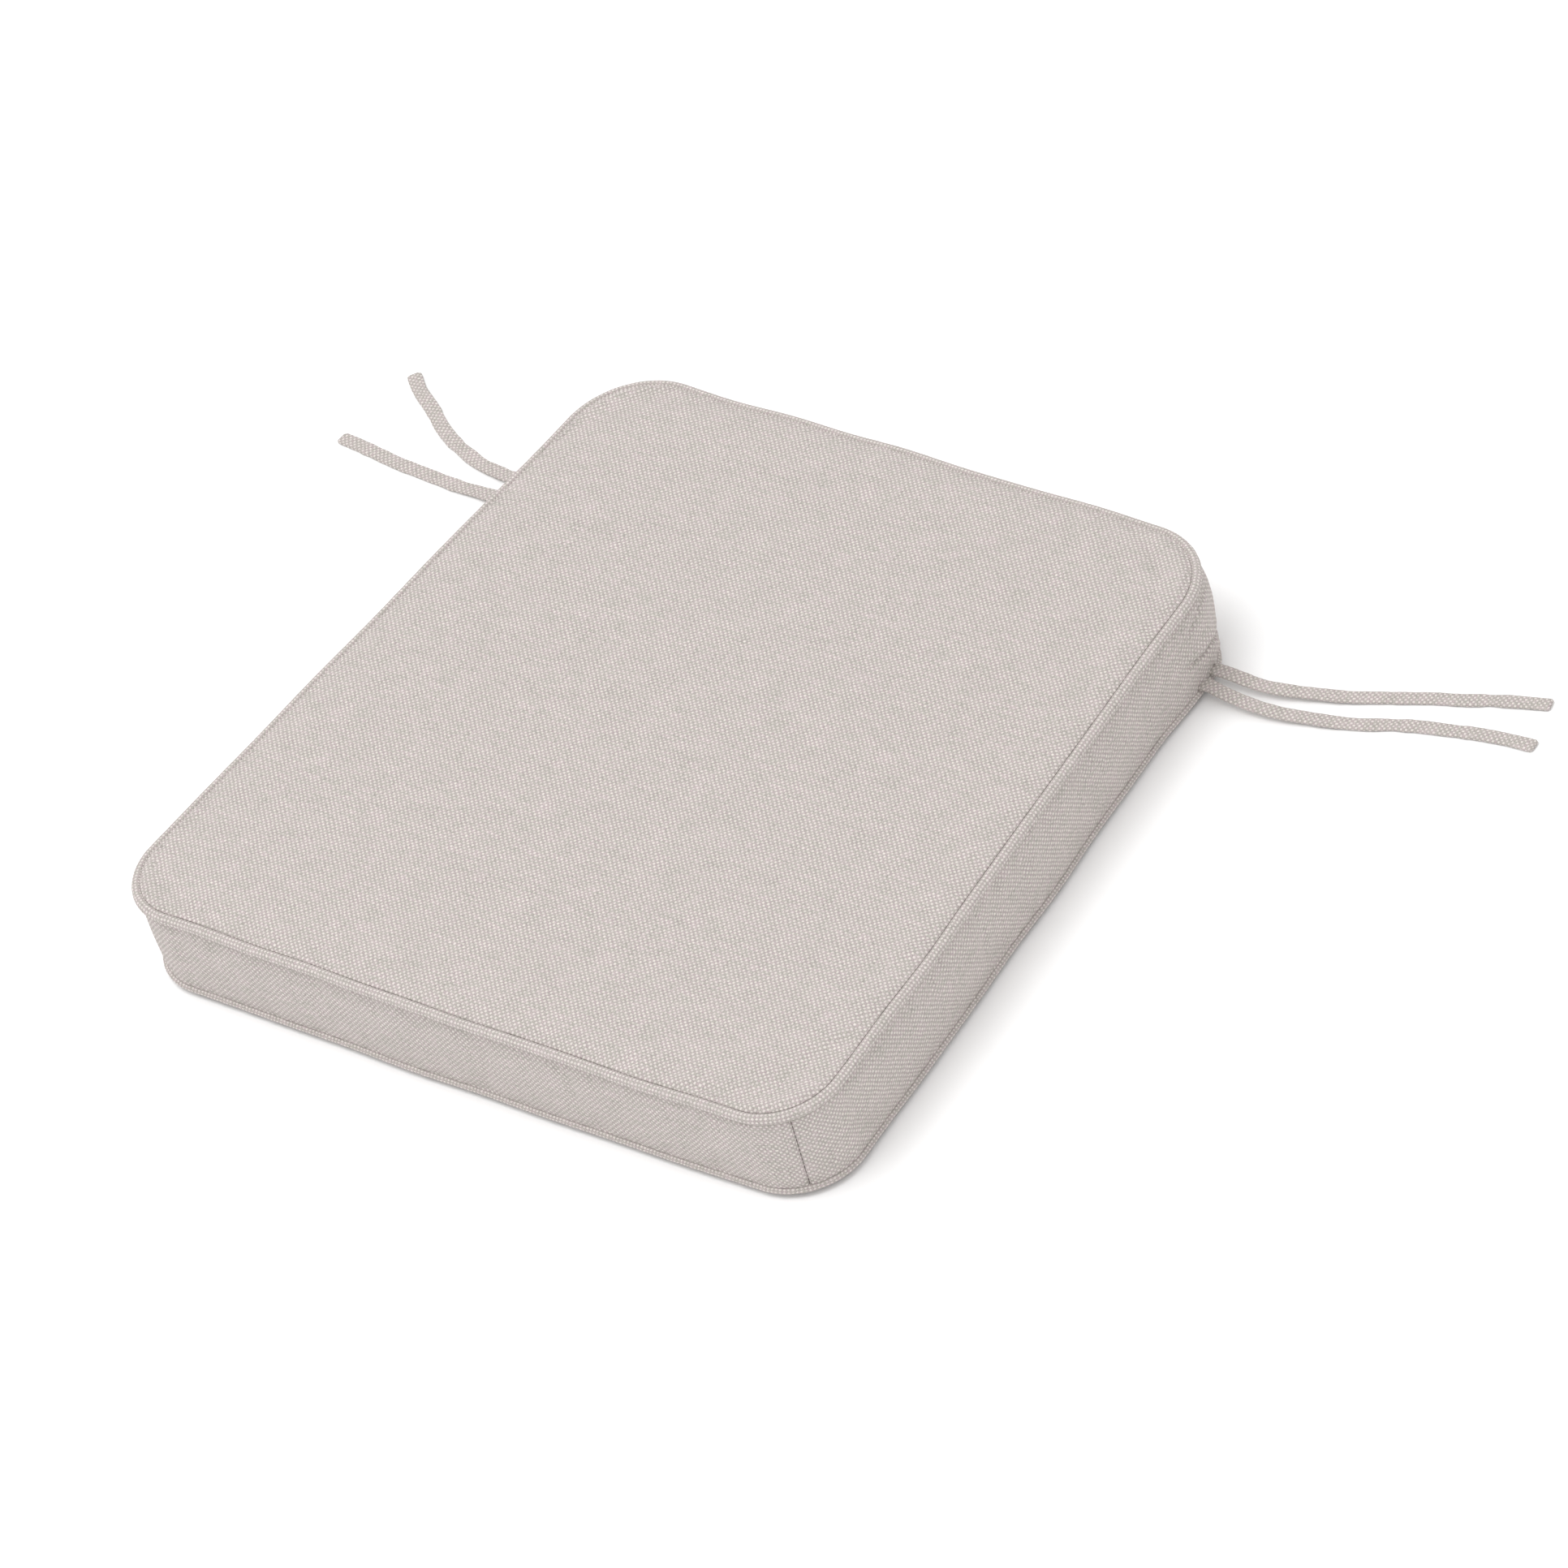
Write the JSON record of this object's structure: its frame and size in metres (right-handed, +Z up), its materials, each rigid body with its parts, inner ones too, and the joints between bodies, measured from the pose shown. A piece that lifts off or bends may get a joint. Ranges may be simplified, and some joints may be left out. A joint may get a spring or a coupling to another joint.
{
  "type": "chair seat pad",
  "caption": "Boxed foam chair seat pad with a tapered outline, piped edges, a zipped rear boxing and pairs of fabric ties at the back corners.",
  "frame": {"origin": "middle of the flat underside of the pad, at the plane that rests on the seat", "axes": "+X to the right along the front edge, +Y from the front edge to the back edge, +Z up through the thickness"},
  "size_m": [0.7245, 0.4208, 0.056],
  "materials": {
    "cover_fabric": "matt basket-weave canvas, warm light grey with darker flecks",
    "foam": "open-cell cream foam",
    "wadding": "soft white polyester wadding",
    "piping_filler": "soft twisted filler cord",
    "zip_tape": "fine herringbone tape",
    "zip_teeth": "satin nylon coil",
    "zip_metal": "satin nickel plate",
    "thread": "polyester sewing thread"
  },
  "bodies": {
    "pad": {"foam_core": "foam", "wadding_top": "wadding", "wadding_bottom": "wadding", "top_panel": "cover_fabric", "bottom_panel": "cover_fabric", "front_boxing": "cover_fabric", "right_boxing": "cover_fabric", "zip_strip_upper": "cover_fabric", "zip_strip_lower": "cover_fabric", "top_piping_cover": "cover_fabric", "top_piping_cord": "piping_filler", "bottom_piping_cover": "cover_fabric", "bottom_piping_cord": "piping_filler", "zip_tape_upper": "zip_tape", "zip_tape_lower": "zip_tape", "zip_teeth_upper": "zip_teeth", "zip_teeth_lower": "zip_teeth", "zip_end_stops": "zip_metal", "zip_stitching": "thread", "right_tie_rear": "cover_fabric", "right_tie_front": "cover_fabric", "left_tie_rear": "cover_fabric", "left_tie_front": "cover_fabric"},
    "zip_slider": {"zip_slider": "zip_metal"},
    "zip_pull": {"zip_pull": "zip_metal"}
  },
  "joints": [
    {"name": "zip_travel", "type": "slide", "parent": "pad", "child": "zip_slider", "axis": [1, 0, 0], "range_m": [0, 0.262]},
    {"name": "zip_pull_swing", "type": "hinge", "parent": "zip_slider", "child": "zip_pull", "pos_m": [-0.13112, 0.2044, 0.028], "axis": [0, 0, 1], "range_deg": [0, 180]}
  ]
}
